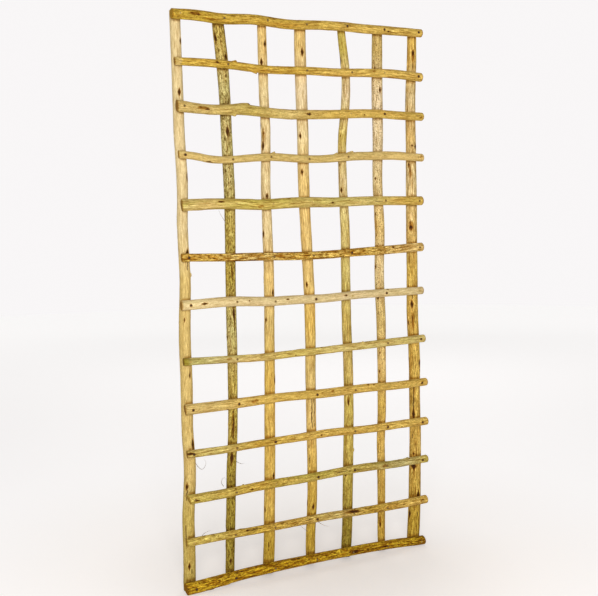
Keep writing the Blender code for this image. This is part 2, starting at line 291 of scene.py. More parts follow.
def colour_field(name, description, default):
    """A colour for the sidebar."""
    return bpy.props.FloatVectorProperty(
        name=name, description=description, default=default, subtype="COLOR", size=3)


class TrellisSizes(bpy.types.PropertyGroup):
    """Sizes and colours of the dressed trellis."""

    ring_step: length_field("Ring step", "Distance between the rings of a pole's surface", 5 * MM)
    sides: bpy.props.IntProperty(
        name="Sides", description="Points round a pole", default=44, min=12)
    lump: length_field("Lumps", "How far a pole's surface swells and sinks", 0.5 * MM)
    end_chamfer: length_field("End chamfer", "Worn edge of a sawn end", 1.2 * MM)
    head_radius: length_field("Nail head radius", "Radius of a wire nail's head", 3.2 * MM)
    shank_radius: length_field("Nail shank radius", "Radius of a wire nail's shank", 1.4 * MM)
    nail_length: length_field("Nail length", "Length under the head", 50 * MM)
    shred_radius: length_field(
        "Shred radius", "Half thickness of a bark shred at the pole", 0.9 * MM)
    nail_colour: colour_field(
        "Nail colour", "Weathered steel of the nail heads", (0.030, 0.020, 0.014))
    # the knot colour also paints the shade deep in the checks
    knot_colour_and_crack_shade: colour_field("Knot colour", "Dark heart of a knot", (0.050, 0.016, 0.002))
    # the floor colour near the trellis holds painted shade and reflected wood colour
    floor_colour_with_shade: colour_field(
        "Floor colour", "Pale studio floor near the trellis", (0.77, 0.71, 0.67))


def smooth(t):
    """Eases 0 to 1."""
    t = np.clip(t, 0.0, 1.0)
    return t * t * (3 - 2 * t)


class Line:
    """A pole's centre line and radius, read from its solid in the frame by plane cuts.

    The radius is the solid's half depth, which leaves room for the other layer of poles. The
    solid's area asks for a little more across, and SWELL gives that.
    """

    STEP = 26 * MM
    END = 3 * MM
    SWELL = 0.018

    def __init__(self, node):
        self.name = node
        self.rail = node.startswith("rail_")
        low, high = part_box(node)
        self.axis = 0 if self.rail else 2
        self.start, self.end = low[self.axis], high[self.axis]
        count = round((self.end - self.start - 2 * self.END) / self.STEP)
        self.place = np.linspace(self.start + self.END, self.end - self.END, count + 1)
        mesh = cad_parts[node].data
        points = np.array([vertex.co for vertex in mesh.vertices], float)
        edges = points[np.array([edge.vertices for edge in mesh.edges])]
        sections = np.array([self.section(edges, place) for place in self.place])
        self.shift = self.even(sections[:, 0])
        self.radius = self.even(sections[:, 1])
        self.depth = self.even(sections[:, 2])

    def section(self, edges, place):
        """Middle across, half of the depth, and middle in depth of the solid at a place."""
        a, b = edges[:, 0], edges[:, 1]
        before, after = a[:, self.axis] - place, b[:, self.axis] - place
        cut = before * after < 0
        share = (before / np.where(cut, before - after, 1.0))[cut, None]
        hits = a[cut] + (b[cut] - a[cut]) * share
        across = hits[:, 2 - self.axis]
        depth = hits[:, 1]
        middle = (across.min() + across.max()) / 2
        return middle, np.ptp(depth) / 2, (depth.min() + depth.max()) / 2

    @staticmethod
    def even(values):
        """Takes the corners out of a line that was made of straight pieces."""
        padded = np.pad(values, 1, mode="edge")
        return (padded[:-2] + 2 * padded[1:-1] + padded[2:]) / 4

    def at(self, values, where):
        """Smooth values at places along the pole."""
        slopes = np.gradient(values, self.place)
        where = np.clip(where, self.place[0], self.place[-1])
        k = np.clip(np.searchsorted(self.place, where) - 1, 0, len(self.place) - 2)
        span = self.place[k + 1] - self.place[k]
        t = (where - self.place[k]) / span
        start = (1 + 2 * t) * (1 - t) ** 2 * values[k] + t * (1 - t) ** 2 * span * slopes[k]
        end = t * t * (3 - 2 * t) * values[k + 1] + t * t * (t - 1) * span * slopes[k + 1]
        return start + end

    def one(self, values, place):
        """The smooth value at one place."""
        return float(self.at(values, np.array([place]))[0])

    def centre(self, where):
        """Centre points at places along the pole."""
        points = np.empty((len(where), 3))
        points[:, self.axis] = where
        points[:, 2 - self.axis] = self.at(self.shift, where)
        points[:, 1] = self.at(self.depth, where)
        return points

    def girth(self, where, angles):
        """Radius at places along the pole and angles round it."""
        radius = self.at(self.radius, where)[:, None]
        return radius * (1 + self.SWELL * np.sin(angles) ** 2)

    def outward(self, angles):
        """Unit vectors from the axis at angles from the front."""
        out = np.zeros(angles.shape + (3,))
        out[..., 2 - self.axis] = np.sin(angles)
        out[..., 1] = -np.cos(angles)
        return out


UPRIGHT_LINES, RAIL_LINES = (
    [Line(node) for node in sorted(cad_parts) if node.startswith(layer)]
    for layer in ("upright_", "rail_"))


CROSSING_STEPS = 4  # each comes nearer to the point


def crossing(upright, rail):
    """Where a rail crosses an upright, x and z."""
    x = float(np.mean(upright.shift))
    for _ in range(CROSSING_STEPS):
        z = rail.one(rail.shift, x)
        x = upright.one(upright.shift, z)
    return x, z


# Surface of a pole
MARK_REACH = 0.75  # fine rings run this share of a mark's length each way
FINE_STEP = 2 * MM  # distance of the rings over a mark
LEAST_FINE = 8  # rings over the smallest mark
LEAST_STEP = 1 * MM  # a ring nearer than this to the one before is dropped
END_MARGIN = 2.5 * MM  # no such ring is nearer to a sawn end

# Swells of the surface: waves round the pole, wavelength along it, share of the lumps' size
SWELLS = ((2, 0.50, 0.55), (1, 0.21, 0.40), (3, 0.15, 0.30), (2, 0.072, 0.30),
          (5, 0.34, 0.16), (4, 0.045, 0.20), (7, 0.11, 0.10), (3, 0.026, 0.10))

# Painted shade in the crooks of an upright and the rails before it
CROOK_DEPTH = 0.75  # its tint
CROOK_FADE = 5 * MM  # how far it reaches along the upright
CROOK_START = 11 * MM  # how far inside a rail's first end it starts
CROOK_EDGE = 6 * MM  # its soft edge

RAIL_HIDDEN, UPRIGHT_HIDDEN = 6, 12  # marks on the sides that face away
REAR = (95, 265)  # angles of those sides
TOUCH_REACH = 1.2  # a pole stays round over this many radii of the pole it touches
CUT_MARGIN = 1.02  # keeps a skewed cut inside the pole's length
SIDE_ROWS = 4  # rows of an end that lie on the pole's side
END_BAND = 2.2 * MM  # the first of them stands this far from the cut
END_DISH = ((0.82, 0.10), (0.6, 0.25), (0.38, 0.2), (0.16, 0.35))  # share of radius, depth in mm
POLE_SHARP = math.radians(55)  # steeper edges stay sharp


def rings_along(line, marks, step):
    """Places of the rings: even steps, closer together over each mark."""
    count = round((line.end - line.start) / step)
    places = list(np.linspace(line.start, line.end, count + 1)[1:-1])
    for _, place, _, length, _ in marks:
        half = MARK_REACH * length * MM
        fine = max(LEAST_FINE, round(2 * half / FINE_STEP))
        places += list(np.linspace(place * MM - half, place * MM + half, fine))
    places = np.array(sorted(places))
    places = places[(places > line.start + END_MARGIN) & (places < line.end - END_MARGIN)]
    keep = np.concatenate(([True], np.diff(places) > LEAST_STEP))
    return places[keep]


def lumps(places, angles, dice, size):
    """Slow swells, flutes and an oval section, as a height over the pole's round surface."""
    height = np.zeros((len(places), len(angles)))
    for turns, wave, share in SWELLS:
        phase, twist = dice.uniform(0, math.tau), dice.uniform(0.7, 1.3)
        along = np.sin(math.tau * places / (wave * twist) + phase)[:, None]
        drift = dice.uniform(0, math.tau) + dice.uniform(-2, 2) * places[:, None]
        height += share * size * along * np.cos(turns * angles + drift)
    return height


def bell(value, width, middle=0.0):
    """A soft bump of 1 at the middle."""
    return np.exp(-((value - middle) / width) ** 2)


def mark_shape(kind, along, around):
    """Height, dark heart, pale rim and crack of a mark. Distances are shares of its half size."""
    lens = np.sqrt(around ** 2 + along ** 2 + 0.35 * (along * around) ** 2)
    far, wide = np.abs(along), np.abs(around)
    width = np.clip(1 - far, 0, None)
    if kind == "knot":
        tail = 0.12 * smooth((1.45 - far) / 0.5)
        inside = np.maximum(width ** 0.85, tail) - wide
        heart = 0.42 * smooth(inside / 0.24 + 0.45) + 0.58 * smooth((inside - 0.10) / 0.34)
        swell = np.exp(-0.5 * (lens / 1.5) ** 2)
        rim = bell(lens, 0.35, 1.3)
        return 0.9 * swell + 0.35 * rim - 1.2 * heart, heart, 0.25 * rim * (1 - heart), 0
    if kind == "eye":
        side = 0.6 + 0.4 * np.cos(np.arctan2(around, along) * 2 - 1.2)
        ring = bell(lens, 0.32, 0.8) * side
        heart = 0.42 * ring + 0.22 * smooth((1.1 - lens) / 0.6) + 0.4 * bell(lens, 0.28)
        return 0.7 * np.exp(-0.5 * lens ** 2) - 0.4 * ring, heart, 0, 0
    if kind == "scar":
        bump = bell(lens, 0.8)
        ring = bell(lens, 0.25, 1.0)
        return 0.9 * bump - 0.3 * ring, 0.12 * ring, 1.2 * bump, 0
    if kind == "stub":
        flat = smooth((1.15 - lens) / 0.5)
        skirt = np.exp(-0.5 * (lens / 1.3) ** 2)
        return 2.6 * flat + 0.8 * skirt, 0.55 * bell(lens, 0.45), 0.5 * flat, 0
    if kind == "spur":
        ramp = np.clip((along + 1.5) / 2.0, 0, 1) * smooth((1.0 - along) / 0.25)
        round_off = np.clip(1 - (around / 1.2) ** 2, 0, None) ** 0.7
        tip = (smooth((along - 0.45) / 0.3) * smooth((1.25 - along) / 0.2)
               * smooth((1.2 - wide) / 0.5))
        return 5.0 * ramp * round_off, 0.9 * tip, 0, 0
    if kind == "check":
        point = wide / np.maximum(width, 0.02)
        groove = smooth((1 - point) / 0.6) * smooth((1 - far) / 0.15)
        lips = bell(wide, 0.7, 1.6) * smooth((1 - far) / 0.2)
        # the crack share is painted shade deep in the check
        return 0.15 * lips - 1.1 * groove, 0, 0, groove
    if kind == "bare":
        edge = smooth((1 - lens) / 0.5)
        return -0.25 * edge, 0, 1.3 * edge, 0
    if kind == "stain":
        edge = smooth((1.1 - lens) / 0.7)
        return 0.15 * edge, 0.16 * edge, -1.1 * edge, 0
    if kind == "rust":
        edge = smooth((1.15 - lens) / 0.5)
        return -0.2 * edge, 0.85 * edge, 0, 0
    if kind == "flake":
        edge = smooth((1 - lens) / 0.35)
        lifted = edge * smooth((along + 1) / 1.6)
        return 1.1 * lifted - 0.4 * bell(lens, 0.2, 1.1), 0, -0.6 * edge, 0
    raise ValueError("no mark is called " + kind)


def hidden_marks(line, dice):
    """Knots and checks on the sides that face away, where the photo shows none."""
    count = RAIL_HIDDEN if line.rail else UPRIGHT_HIDDEN
    length = line.end - line.start
    marks = []
    for k in range(count):
        place = line.start + length * (k + dice.uniform(0.15, 0.85)) / count
        angle = dice.uniform(*REAR)
        kind = dice.choice(("knot", "knot", "knot", "check", "scar"))
        long = dice.uniform(16, 34) if kind == "knot" else dice.uniform(12, 16)
        wide = dice.uniform(6, 9) if kind == "knot" else dice.uniform(10, 13)
        if kind == "check":
            long, wide = dice.uniform(60, 160), dice.uniform(2, 4)
        marks.append((kind, place / MM, angle, long, wide))
    return marks


def touching(line, places, angles):
    """Share by which the surface must keep its round form: near the other layer of poles."""
    inner = math.pi if line.rail else 0.0
    near = np.zeros(len(places))
    for other in UPRIGHT_LINES if line.rail else RAIL_LINES:
        spot, across = crossing(other, line) if line.rail else crossing(line, other)[::-1]
        reach = TOUCH_REACH * other.one(other.radius, across)
        near = np.maximum(near, np.exp(-((places - spot) / reach) ** 4))
    side = smooth((np.cos(angles - inner) - 0.2) / 0.5)
    return near[:, None] * side


def crook_shade(line, places, angles):
    """Share of the painted shade on an upright's front in the crook above and below each rail."""
    radius = line.at(line.radius, places)[:, None]
    x_here = line.at(line.shift, places)[:, None] + radius * np.sin(angles)
    painted_shade = np.zeros_like(x_here)
    for rail in RAIL_LINES:
        x, z = crossing(line, rail)
        edge = rail.one(rail.radius, x)
        away = np.clip(np.abs(places - z) - edge, 0, None)[:, None]
        inside = np.minimum(x_here - rail.start - CROOK_START, rail.end - x_here)
        painted_shade = np.maximum(painted_shade, bell(away, CROOK_FADE) * smooth(inside / CROOK_EDGE))
    return painted_shade * smooth((np.cos(angles) + 0.35) / 0.5)


def rust_marks(line, look):
    """Rust in the wood round the rail's nail heads."""
    rings = [HEADS[letter][1] for letter in look.get("heads", "")]
    return [("rust", crossing(upright, line)[0] / MM, 0, wide, wide)
            for upright, wide in zip(UPRIGHT_LINES, rings) if wide]


def along_stops(stops, places):
    """Values along a pole, each column of the stops blended between its places."""
    where, *columns = np.array(stops, float).T
    return np.stack([np.interp(places, where * MM, column) for column in columns], axis=-1)


def pole_surface(line, look, settings, dice):
    """Places and angles of a pole's points, then their height, heart, rim and crack."""
    marks = look["marks"] + rust_marks(line, look) + hidden_marks(line, dice)
    places = rings_along(line, marks, settings.ring_step)
    angles = np.linspace(0, math.tau, settings.sides, endpoint=False)
    height = lumps(places, angles, dice, settings.lump)
    heart, rim, crack = (np.zeros_like(height) for _ in range(3))
    radius = line.at(line.radius, places)
    for kind, place, angle, length, width in marks:
        slant = dice.uniform(-0.05, 0.05)
        away = (places - place * MM)[:, None]
        wander = 0.0
        if kind == "check":
            wander = 0.6 * MM * np.sin(away / (9 * MM)) + 0.4 * MM * np.sin(away / (3.7 * MM))
        turn = (angles - math.radians(angle) + math.pi) % math.tau - math.pi
        around = turn * radius[:, None] - away * slant * (kind == "knot") - wander
        up, dark, pale, split = mark_shape(
            kind, away / (length * MM / 2), around / (width * MM / 2))
        height += up * MM
        heart = np.maximum(heart, dark)
        rim = rim + pale
        crack = np.maximum(crack, split)
    if not line.rail:
        # painted shade in the crooks above and below each rail darkens the upright's front through
        # its rim
        rim -= CROOK_DEPTH * crook_shade(line, places, angles)
    calm = touching(line, places, angles)
    height = np.where(height > 0, height * (1 - calm), height)
    return places, angles, height, heart, rim, crack


def saw_cut(line, look, where, offsets):
    """How far the points near a sawn end move along the pole, so that the cut stands skewed."""
    moved = np.zeros(offsets.shape[:-1])
    cuts = look.get("cuts", RAIL_CUTS if line.rail else UPRIGHT_CUTS)
    for edge, inward, (rear, side) in ((line.start, 1, cuts[0]), (line.end, -1, cuts[1])):
        tilt = offsets[..., 1] * rear + offsets[..., 2 - line.axis] * side
        radius = line.one(line.radius, edge)
        reach = radius * math.hypot(rear, side) * CUT_MARGIN
        fade = np.clip(1 - np.abs(where - edge) / (4 * reach + 4 * MM), 0, 1)
        moved += inward * (tilt + reach) * fade[:, None]
    return moved


def end_rings(line, settings, last):
    """Place, inset and radius share of the rings that close a sawn end, from the side inwards."""
    edge = line.end if last else line.start
    back = -1 if last else 1
    chamfer = settings.end_chamfer
    rows = [(edge + back * END_BAND, 0.0, 1.0), (edge + back * chamfer, 0.0, 1.0),
            (edge + back * 0.3 * chamfer, 0.35 * chamfer, 1.0), (edge, chamfer, 1.0)]
    return rows + [(edge + back * dish * MM, chamfer, share) for share, dish in END_DISH]


def pole_faces(ring_count, sides, sawn_rows, flip):
    """Faces of a closed tube of rings, and 1 for each face on a sawn end, 0 for the others."""
    faces, kinds = [], []
    for k in range(ring_count - 1):
        sawn = k < sawn_rows or k >= ring_count - 1 - sawn_rows
        for a in range(sides):
            b = (a + 1) % sides
            faces.append((k * sides + a, k * sides + b, (k + 1) * sides + b, (k + 1) * sides + a))
            kinds.append(int(sawn))
    first_tip = ring_count * sides
    last_ring = first_tip - sides
    for a in range(sides):
        b = (a + 1) % sides
        faces += [(first_tip, b, a), (first_tip + 1, last_ring + a, last_ring + b)]
        kinds += [1, 1]
    return [face[::-1] for face in faces] if flip else faces, kinds


def store(mesh, name, kind, values, tips):
    """Keeps a value of each ring point and of the two tips on the mesh, for the finish."""
    field = {"FLOAT": "value", "FLOAT_COLOR": "color", "FLOAT_VECTOR": "vector"}[kind]
    flat = np.concatenate([values.reshape(-1, tips.shape[1]), tips]).astype(np.float32)
    mesh.attributes.new(name, kind, "POINT").data.foreach_set(field, flat.ravel())


def link(name, data):
    """A new object in the scene."""
    made = bpy.data.objects.new(name, data)
    bpy.context.scene.collection.objects.link(made)
    return made


def make_pole(line, look, settings, seed):
    """A peeled pole with its knots, checks and sawn ends, which stands for its solid."""
    places, angles, height, heart, rim, crack = pole_surface(
        line, look, settings, random.Random(seed))
    start, end = end_rings(line, settings, False), end_rings(line, settings, True)
    rows = [(*row, 0) for row in reversed(start)]
    rows += [(place, 0.0, 1.0, k) for k, place in enumerate(places)]
    rows += [(*row, len(places) - 1) for row in end]
    where, inset, share, index = (np.array(column) for column in zip(*rows))
    surface = line.girth(where, angles) + height[index] - inset[:, None]
    surface *= share[:, None]
    offsets = line.outward(np.broadcast_to(angles, surface.shape)) * surface[..., None]
    points = line.centre(where)[:, None, :] + offsets
    points[..., line.axis] += saw_cut(line, look, where, offsets)
    points = np.clip(points, CAD_LOW, CAD_HIGH)

    name = line.name + "_peeled"
    mesh = bpy.data.meshes.new(name)
    ring_count, sides = surface.shape
    tips = points[[0, -1]].mean(axis=1)
    faces, kinds = pole_faces(ring_count, sides, len(start) - SIDE_ROWS, flip=line.rail)
    mesh.from_pydata(np.concatenate([points.reshape(-1, 3), tips]).tolist(), [], faces)
    mesh.polygons.foreach_set("material_index", kinds)
    mesh.update()

    grain = np.stack([surface * np.cos(angles), surface * np.sin(angles),
                      np.broadcast_to((where + seed)[:, None], surface.shape)], axis=-1)
    store(mesh, "grain", "FLOAT_VECTOR", grain,
          np.array([[0, 0, line.start + seed], [0, 0, line.end + seed]]))
    tones = along_stops([(place, *TONES[tone], 1.0) for place, tone in look["tones"]], places)
    wear = along_stops(look["wear"], places) / 100
    for kind, values in (("tone", tones), ("wear", wear)):
        store(mesh, kind, "FLOAT_COLOR", np.repeat(values[index][:, None], sides, axis=1),
              values[[0, -1]])
    rim = rim[index]
    # rails are darker at their sawn edges
    if line.rail:
        for rings in (slice(None, len(start)), slice(-len(end), None)):
            rim[rings] = np.minimum(rim[rings], END_DARKENING)
    for kind, values in (("heart", heart[index]), ("rim", rim), ("crack", crack[index])):
        store(mesh, kind, "FLOAT", values, np.zeros((2, 1)))
    fresh = np.full(surface.shape, look.get("fresh", 0.0))
    store(mesh, "fresh", "FLOAT", fresh, fresh[:2, :1])
    mesh.shade_smooth()
    mesh.set_sharp_from_angle(angle=POLE_SHARP)
    mesh.materials.append(wood(look["slot"]))
    mesh.materials.append(end_grain())
    pole = link(name, mesh)
    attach(pole, BODY)
    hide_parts(line.name)


# Finishes

def node_tools(tree):
    """For a node tree, a function that fills a node's sockets and one that adds a node."""

    def fill(node, values):
        for socket, value in values.items():
            if isinstance(value, bpy.types.NodeSocket):
                tree.links.new(value, node.inputs[socket])
            else:
                node.inputs[socket].default_value = value
        return node

    def add(kind, values=None, **fields):
        node = tree.nodes.new("ShaderNode" + kind)
        for field, value in fields.items():
            setattr(node, field, value)
        return fill(node, values or {})

    return fill, add


def new_material(name):
    """A node material, a function that fills its shader's sockets and one that adds nodes."""
    material = bpy.data.materials.new(name)
    material.use_nodes = True
    fill, add = node_tools(material.node_tree)
    shader = material.node_tree.nodes["Principled BSDF"]
    return material, lambda values: fill(shader, values), add


def colour_mix(add, factor, base, over, blend="MIX"):
    """Mixes two colours and returns the result's socket."""
    return add("Mix", {0: factor, 6: base, 7: over},
               data_type="RGBA", blend_type=blend).outputs[2]


def spread(add, value, low, high, out_low=0.0, out_high=1.0):
    """Stretches a value's range, eased and held within its limits."""
    node = add("MapRange", {"Value": value, "From Min": low, "From Max": high,
                                      "To Min": out_low, "To Max": out_high},
               interpolation_type="SMOOTHSTEP")
    return node.outputs["Result"]


def calculate(add, operation, first, second):
    """One step of arithmetic on two values."""
    return add("Math", {0: first, 1: second}, operation=operation).outputs[0]


def vector(add, operation, first, second):
    """One step of arithmetic on two vectors."""
    return add("VectorMath", {0: first, 1: second}, operation=operation).outputs[0]


def noise(add, place, scale, detail, **more):
    """Outputs of a noise over places in metres. Scale is its cells per metre."""
    values = {"Vector": place, "Scale": scale, "Detail": detail, **more}
    return add("TexNoise", values).outputs


def bump(add, height, strength, depth, normal=None):
    """A relief of that depth in metres, over the normal of another one."""
    values = {"Height": height, "Strength": strength, "Distance": depth}
    if normal:
        values["Normal"] = normal
    return add("Bump", values).outputs[0]


def stored(add, name, output="Fac"):
    """A value that store kept on the mesh."""
    return add("Attribute", attribute_name=name).outputs[output]


def streaks(add, grain, across, along, detail):
    """Noise drawn out along the pole."""
    place = vector(add, "MULTIPLY", grain, (across, across, along))
    return noise(add, place, 1.0, detail, Roughness=0.55)["Fac"]


STREAKS = (  # cells per metre across and along, detail
    (80, 8, 4), (240, 20, 5), (600, 40, 4), (260, 110, 4),
    (140, 34, 5), (48, 8, 3), (380, 260, 2), (340, 150, 3))


def wood(slot):
    """The peeled wood of one material slot."""
    name = slot + "_finish"
    if name in bpy.data.materials:
        return bpy.data.materials[name]
    streak, roughness = WOODS[slot]
    knot_dark_and_crack_shade = bpy.context.scene.trellis.knot_colour_and_crack_shade
    material, finish, add = new_material(name)
    grain = stored(add, "grain", "Vector")
    shares = add("SeparateColor", {0: stored(add, "wear", "Color")}).outputs
    mottle_and_glints, speckle, green, bark = *shares, stored(add, "wear", "Alpha")
    rim, heart, crack = (stored(add, kind) for kind in ("rim", "heart", "crack"))
    film_share, bark_dark, bark_pale = (
        calculate(add, "MULTIPLY", value, amount)
        for value, amount in ((green, 0.85), (bark, 0.90), (bark, 0.4)))
    fibred = 0.3 + 0.7 * streak

    broad, narrow, fibre, blotch, patch, film, specks, glints = (
        streaks(add, grain, *cells) for cells in STREAKS)

    colour = stored(add, "tone", "Color")
    for value, low, high, amount, tint in (
            # as the value goes from low to high, that amount of the tint comes in
            (broad, 0.52, 0.68, 0.5 * streak, (1.35, 1.40, 1.50)),
            (broad, 0.48, 0.34, 0.6 * streak, (0.80, 0.60, 0.34)),
            (narrow, 0.48, 0.37, streak, (0.50, 0.36, 0.15)),
            (narrow, 0.53, 0.64, streak, (1.40, 1.46, 1.60)),
            (fibre, 0.50, 0.38, fibred, (0.58, 0.45, 0.26)),
            (fibre, 0.51, 0.62, fibred, (1.34, 1.38, 1.48)),
            (film, 0.42, 0.62, film_share, (0.73, 0.77, 0.50)),
            (blotch, 0.52, 0.37, mottle_and_glints, (0.34, 0.27, 0.13)),
            # pale flecks and painted glints of light, as strong as the mottle
            (glints, 0.54, 0.66, mottle_and_glints, (1.60, 1.70, 1.90)),
            (specks, 0.45, 0.36, speckle, (0.24, 0.15, 0.05)),
            (patch, 0.46, 0.58, bark_dark, (0.60, 0.42, 0.14)),
            (patch, 0.44, 0.34, bark_pale, (1.45, 1.40, 1.25)),
            (rim, 0.0, 1.0, 0.9, (1.55, 1.72, 2.30)),
            # a rim below zero darkens: stains, flakes, the rails' sawn edges, and the painted shade
            # in the crooks of the uprights
            (rim, 0.0, -1.0, 0.9, (0.52, 0.34, 0.08)),
            (heart, 0.04, 0.45, 0.85, (0.50, 0.29, 0.06)),
            (heart, 0.40, 0.95, 1.0, knot_dark_and_crack_shade),
            # painted shade deep in the checks, in the knot colour
            (crack, 0.2, 0.8, 0.9, knot_dark_and_crack_shade)):
        share = calculate(add, "MULTIPLY", spread(add, value, low, high), amount)
        blend = "MIX" if tint is knot_dark_and_crack_shade else "MULTIPLY"
        colour = colour_mix(add, share, colour, (*tint, 1), blend)

    relief = bump(add, fibre, 0.35, 0.5 * MM)
    relief = bump(add, blotch, 0.3, 0.8 * MM, relief)
    relief = bump(add, broad, 0.3, 1.5 * MM, relief)
    finish({"Base Color": colour, "Specular IOR Level": 0.08, "Normal": relief,
            "Roughness": spread(add, fibre, 0.35, 0.65, roughness - 0.08, roughness + 0.10)})
    return material


END_WARP = 4 * MM  # how far the growth rings wander


def end_grain():
    """Sawn end: growth rings and saw marks."""
    name = "sawn_end_finish"
    if name in bpy.data.materials:
        return bpy.data.materials[name]
    material, finish, add = new_material(name)
    grain = stored(add, "grain", "Vector")
    flat = vector(add, "MULTIPLY", grain, (1, 1, 0))
    warp = vector(add, "SUBTRACT", noise(add, grain, 90.0, 2.0)["Color"], (0.5, 0.5, 0.5))
    bent = vector(add, "ADD", flat, vector(add, "MULTIPLY", warp, [END_WARP] * 3))
    rings = add("TexWave",
                {"Vector": bent, "Scale": 95.0, "Distortion": 0.6, "Detail": 1.0},
                wave_type="RINGS", rings_direction="SPHERICAL").outputs["Fac"]
    saw = noise(add, grain, 900.0, 3.0)["Fac"]
    tint = colour_mix(add, stored(add, "fresh"), (0.58, 0.42, 0.20, 1), (0.90, 0.80, 0.62, 1))
    colour = colour_mix(add, 1.0, stored(add, "tone", "Color"), tint, "MULTIPLY")
    colour = colour_mix(add, spread(add, rings, 0.2, 0.9, 0, 0.5), colour,
                        (0.55, 0.38, 0.20, 1), "MULTIPLY")
    colour = colour_mix(add, spread(add, saw, 0.35, 0.65, 0, 0.4), colour,
                        (0.66, 0.56, 0.42, 1), "MULTIPLY")
    finish({"Base Color": colour, "Roughness": 0.85, "Specular IOR Level": 0.08,
            "Normal": bump(add, saw, 0.5, 0.5 * MM)})
    return material


def nail_steel(letter):
    """Weathered wire nail: dark oxide, dulled by dust and resin where less of it is bare."""
    name = "nail_steel_finish_" + letter
    if name in bpy.data.materials:
        return bpy.data.materials[name]
    bare = HEADS[letter][0]
    material, finish, add = new_material(name)
    place = add("TexCoord").outputs["Object"]
    patches = noise(add, place, 420.0, 4.0)["Fac"]
    oxide = colour_mix(add, spread(add, patches, 0.45, 0.65),
                       (*bpy.context.scene.trellis.nail_colour, 1), (0.10, 0.055, 0.025, 1))
    finish({"Base Color": colour_mix(add, bare, (0.50, 0.34, 0.10, 1), oxide),
            "Roughness": spread(add, patches, 0.3, 0.7, 0.45, 0.75),
            "Metallic": 0.3 * bare, "Specular IOR Level": 0.2 * bare,
            "Normal": bump(add, patches, 0.3, 0.3 * MM)})
    return material


# Nails

NAIL_SIDES = 20
NAIL_SHARP = math.radians(40)  # steeper edges stay sharp


def turned(name, profile):
    """A closed turned mesh from (radius, height) pairs that start and end on the axis."""
    made = bmesh.new()
    turns = [math.tau * k / NAIL_SIDES for k in range(NAIL_SIDES)]
    rows = []
    for radius, height in profile:
        if radius == 0:
            rows.append([made.verts.new((0, 0, height))] * NAIL_SIDES)
            continue
        rows.append([made.verts.new((radius * math.cos(t), radius * math.sin(t), height))
                     for t in turns])
    for low, high in zip(rows[:-1], rows[1:]):
        for k in range(NAIL_SIDES):
            b = (k + 1) % NAIL_SIDES
            made.faces.new(list(dict.fromkeys((low[k], low[b], high[b], high[k]))))
    bmesh.ops.recalc_face_normals(made, faces=made.faces)
    mesh = bpy.data.meshes.new(name)
    made.to_mesh(mesh)
    made.free()
    mesh.shade_smooth()
    mesh.set_sharp_from_angle(angle=NAIL_SHARP)
    return mesh


def nail_mesh(settings, letter):
    """Round wire nail along +Z, head up, underside of the head at the origin."""
    head, shank, length = settings.head_radius, settings.shank_radius, settings.nail_length
    profile = [(0, 1.15 * MM), (0.45 * head, 1.12 * MM), (0.75 * head, 1.0 * MM),
               (0.93 * head, 0.78 * MM), (head, 0.5 * MM), (0.97 * head, 0.15 * MM),
               (0.9 * head, 0), (shank * 1.35, -0.2 * MM), (shank, -1.2 * MM),
               (shank, -length + 4 * MM), (0, -length)]
    mesh = turned("wire_nail_" + letter, profile)
    mesh.materials.append(nail_steel(letter))
    return mesh


def drive_nail(mesh, name, place, dice):
    """A nail with the underside of its head at a place, driven straight back."""
    nail = link(name, mesh)
    spin = Matrix.Rotation(dice.uniform(0, math.tau), 4, "Z")
    nail.matrix_world = (Matrix.Translation(place)
                         @ Matrix.Rotation(math.radians(90), 4, "X") @ spin)
    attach(nail, BODY)
    return nail


# Shreds of bark

def bark_fibre():
    """Dry inner bark, pale and dark in turns along a shred."""
    name = "bark_fibre_finish"
    if name in bpy.data.materials:
        return bpy.data.materials[name]
    material, finish, add = new_material(name)
    place = add("TexCoord").outputs["Object"]
    turns = spread(add, noise(add, place, 260.0, 3.0)["Fac"], 0.4, 0.62)
    colour = colour_mix(add, turns, (0.13, 0.10, 0.07, 1), (0.34, 0.27, 0.18, 1))
    finish({"Base Color": colour, "Roughness": 0.85})
    return material


def make_shred(number, depth, points):
    """A curved shred that thins out from the pole to its tip."""
    curve = bpy.data.curves.new("shred_route", "CURVE")
    curve.dimensions = "3D"
    curve.bevel_depth = bpy.context.scene.trellis.shred_radius
    curve.bevel_resolution = 2
    curve.resolution_u = 8
    curve.use_fill_caps = True
    spline = curve.splines.new("BEZIER")
    spline.bezier_points.add(len(points) - 1)
    for k, (point, (x, z)) in enumerate(zip(spline.bezier_points, points)):
        point.co = (x * MM, depth * MM, z * MM)
        point.handle_left_type = point.handle_right_type = "AUTO"
        point.radius = 1.0 - 0.75 * k / (len(points) - 1)
    route = bpy.data.objects.new("shred_route", curve)
    mesh = bpy.data.meshes.new_from_object(route)
    mesh.name = f"bark_shred_{number}"
    bpy.data.objects.remove(route)
    bpy.data.curves.remove(curve)
    mesh.materials.clear()
    mesh.materials.append(bark_fibre())
    shred = link(mesh.name, mesh)
    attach(shred, BODY)


# Operators

class TRELLIS_OT_uprights(bpy.types.Operator):
    """Dress the seven upright poles"""

    bl_idname = "trellis.uprights"
    bl_label = "Upright poles"

    def execute(self, context):
        for k, (line, look) in enumerate(zip(UPRIGHT_LINES, UPRIGHT_LOOKS)):
            make_pole(line, look, context.scene.trellis, seed=k + UPRIGHT_SEED)
        return {"FINISHED"}


class TRELLIS_OT_rails(bpy.types.Operator):
    """Dress the thirteen rails"""

    bl_idname = "trellis.rails"
    bl_label = "Rails"

    def execute(self, context):
        for k, (line, look) in enumerate(zip(RAIL_LINES, RAIL_LOOKS)):
            make_pole(line, look, context.scene.trellis, seed=k + RAIL_SEED)
        return {"FINISHED"}


